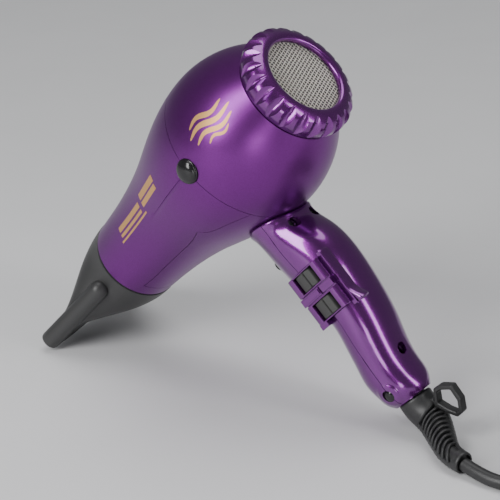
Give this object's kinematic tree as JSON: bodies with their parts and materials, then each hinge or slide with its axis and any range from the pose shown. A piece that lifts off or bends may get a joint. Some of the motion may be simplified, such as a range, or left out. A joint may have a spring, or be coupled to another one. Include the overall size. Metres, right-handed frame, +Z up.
{
  "type": "hair dryer",
  "caption": "Corded salon hair dryer: tapered metallic barrel, fluted rear filter ring, curved handle with two rockers, slot nozzle, ribbed boot and coiled lead with plug.",
  "frame": {"origin": "centre of the bottom of the dryer's bounding box, on the surface it lies on, without the cord", "axes": "+X from the nozzle towards the cord, along the surface; +Y to the dryer's right side; +Z up. The barrel axis lies in the XZ plane, nose down at 45.9 degrees, and the handle points down and towards +X."},
  "size_m": [0.4015, 0.1509, 0.1995],
  "materials": {
    "satin_purple": "metallic satin lacquer",
    "gloss_purple": "high gloss metallic",
    "black_matte": "fine matte",
    "black_gloss": "gloss",
    "black_rubber": "satin rubber",
    "steel": "bright",
    "nickel": "nickel plated",
    "copper_windings": "enamelled windings",
    "mica": "flaky mineral board",
    "grey_nylon": "moulded nylon",
    "foam": "open cell foam",
    "bronze": "sintered bronze"
  },
  "bodies": {
    "dryer": {"front_shell": "satin_purple", "barrel_lower": "satin_purple", "rear_shell": "satin_purple", "side_cap_left": "black_gloss", "side_cap_right": "black_gloss", "motor_can": "steel", "motor_end_cap": "grey_nylon", "motor_bearing_front": "bronze", "motor_bearing_rear": "bronze", "motor_mount": "grey_nylon", "mica_tube": "mica", "mica_board_upright": "mica", "mica_board_level": "mica", "heater_coil_outer": "nickel", "heater_coil_inner": "nickel", "thermostat": "nickel", "thermal_fuse": "nickel", "ion_emitter": "steel", "ion_module": "black_matte", "outlet_grille": "black_matte", "handle_front": "gloss_purple", "handle_rear": "gloss_purple", "handle_screw_left": "steel", "handle_screw_right": "steel", "handle_screw_heel": "steel", "side_screw_left": "black_gloss", "side_screw_right": "black_gloss", "switch_bezel": "gloss_purple", "speed_switch": "black_matte", "heat_switch": "black_matte", "cold_shot_spring": "steel", "cold_shot_switch": "black_matte", "cord_clamp": "grey_nylon", "supply_lead": "black_rubber", "heater_lead": "black_rubber", "hanging_loop": "black_rubber", "cord_boot": "black_rubber", "cord_tube": "black_rubber", "cord_coil": "black_rubber", "cord_tail": "black_rubber", "plug_body": "black_rubber", "plug_pin_left": "nickel", "plug_pin_right": "nickel"},
    "nozzle": {"nozzle": "black_matte"},
    "fan_rotor": {"fan_impeller": "grey_nylon", "motor_shaft": "steel", "motor_armature": "copper_windings"},
    "speed_rocker": {"speed_rocker": "black_matte"},
    "heat_rocker": {"heat_rocker": "black_matte"},
    "cold_shot_button": {"cold_shot_button": "black_gloss"},
    "filter_sleeve": {"filter_basket": "grey_nylon"},
    "filter_cap": {"filter_ring": "gloss_purple", "filter_mesh": "steel", "filter_foam": "foam"}
  },
  "joints": [
    {"name": "nozzle_turn", "type": "hinge", "parent": "dryer", "child": "nozzle", "pos_m": [-0.09228, 0, 0.05081], "axis": [0.6959, 0, 0.7181], "continuous": true},
    {"name": "fan_spin", "type": "hinge", "parent": "dryer", "child": "fan_rotor", "pos_m": [0.00793, 0, 0.15422], "axis": [0.6959, 0, 0.7181], "continuous": true},
    {"name": "speed_tilt", "type": "hinge", "parent": "dryer", "child": "speed_rocker", "pos_m": [0.04362, -0.0162, 0.07717], "axis": [-0.7181, 0, 0.6959], "range_deg": [-9, 9]},
    {"name": "heat_tilt", "type": "hinge", "parent": "dryer", "child": "heat_rocker", "pos_m": [0.05583, -0.0162, 0.06534], "axis": [-0.7181, 0, 0.6959], "range_deg": [-9, 9]},
    {"name": "cold_shot_press", "type": "slide", "parent": "dryer", "child": "cold_shot_button", "axis": [0.6959, 0, 0.7181], "range_m": [0, 0.002], "stiffness_N_per_m": 700, "springref_m": -0.0005, "deforming": ["cold_shot_spring"]},
    {"name": "filter_pull", "type": "slide", "parent": "dryer", "child": "filter_sleeve", "axis": [0.6959, 0, 0.7181], "range_m": [0, 0.032]},
    {"name": "cap_turn", "type": "hinge", "parent": "filter_sleeve", "child": "filter_cap", "pos_m": [0.02881, 0, 0.17576], "axis": [0.6959, 0, 0.7181], "range_deg": [-30, 0]}
  ]
}
